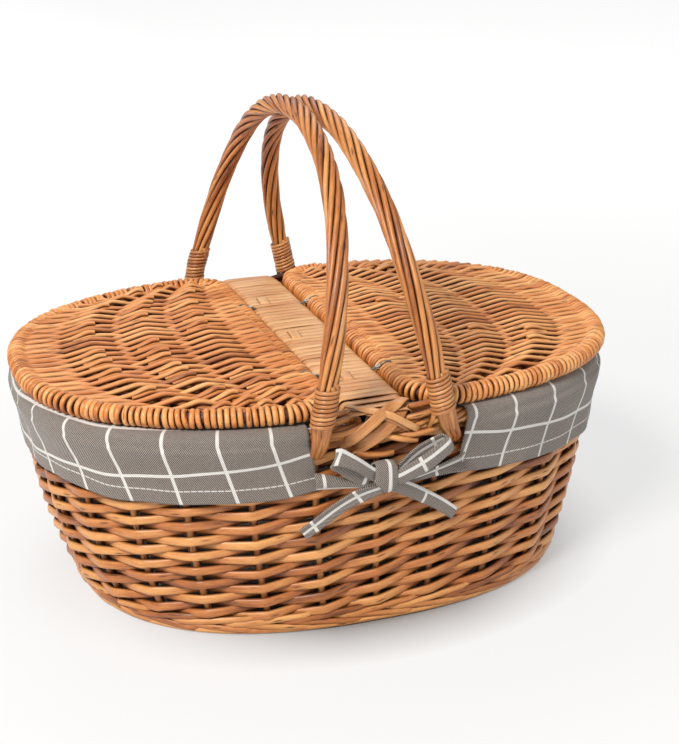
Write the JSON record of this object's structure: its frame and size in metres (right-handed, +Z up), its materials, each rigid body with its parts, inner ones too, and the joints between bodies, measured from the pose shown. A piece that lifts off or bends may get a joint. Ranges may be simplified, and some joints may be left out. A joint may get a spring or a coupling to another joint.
{
  "type": "picnic basket",
  "caption": "Oval woven willow picnic basket with hinged half lids, folding hoop handles and a checked cloth liner tied with bows.",
  "frame": {"origin": "on the floor, under the middle of the base", "axes": "+X along the long axis towards the right lid, -Y towards the front bow, +Z up"},
  "size_m": [0.4158, 0.3434, 0.3148],
  "materials": {
    "willow": "varnished buff willow rod, honey brown",
    "lid_willow": "varnished willow rod, slightly redder brown",
    "splint": "shaved pale willow splint, varnished",
    "cane": "wrapping cane, smooth and glossy",
    "cloth": "grey cotton twill with a thin white windowpane check",
    "twine": "grey-white waxed twine"
  },
  "bodies": {
    "basket": {"base_weave": "willow", "upsett_band": "willow", "side_weave": "willow", "rim_border": "willow", "liner_bag": "cloth", "bridge_rod_1": "willow", "bridge_rod_2": "willow", "bridge_rod_3": "willow", "bridge_rod_4": "willow", "bridge_band": "splint", "cuff_left": "cloth", "hinge_tie_front_left": "twine", "bridge_splint_front_left": "splint", "tie_strap_front_left": "cloth", "bow_loop_front_left": "cloth", "bow_tail_front_left": "cloth", "hinge_tie_back_left": "twine", "bridge_splint_back_left": "splint", "tie_strap_back_left": "cloth", "bow_loop_back_left": "cloth", "bow_tail_back_left": "cloth", "cuff_right": "cloth", "hinge_tie_front_right": "twine", "bridge_splint_front_right": "splint", "tie_strap_front_right": "cloth", "bow_loop_front_right": "cloth", "bow_tail_front_right": "cloth", "hinge_tie_back_right": "twine", "bridge_splint_back_right": "splint", "tie_strap_back_right": "cloth", "bow_loop_back_right": "cloth", "bow_tail_back_right": "cloth", "bow_knot_front": "cloth", "bow_knot_back": "cloth"},
    "lid_left": {"lid_left_frame": "lid_willow", "lid_left_panel": "lid_willow"},
    "lid_right": {"lid_right_frame": "lid_willow", "lid_right_panel": "lid_willow"},
    "handle_left": {"handle_left_hoop": "willow", "handle_left_front_binding": "cane", "handle_left_back_binding": "cane"},
    "handle_right": {"handle_right_hoop": "willow", "handle_right_front_binding": "cane", "handle_right_back_binding": "cane"}
  },
  "joints": [
    {"name": "lid_left_hinge", "type": "hinge", "parent": "basket", "child": "lid_left", "pos_m": [-0.028, 0, 0.1492], "axis": [0, 1, 0], "range_deg": [0, 80]},
    {"name": "lid_right_hinge", "type": "hinge", "parent": "basket", "child": "lid_right", "pos_m": [0.028, 0, 0.1492], "axis": [0, -1, 0], "range_deg": [0, 80]},
    {"name": "handle_left_hinge", "type": "hinge", "parent": "basket", "child": "handle_left", "pos_m": [-0.0432, 0, 0.12], "axis": [0, -1, 0], "range_deg": [0, 100]},
    {"name": "handle_right_hinge", "type": "hinge", "parent": "basket", "child": "handle_right", "pos_m": [0.0432, 0, 0.12], "axis": [0, 1, 0], "range_deg": [0, 100]}
  ]
}
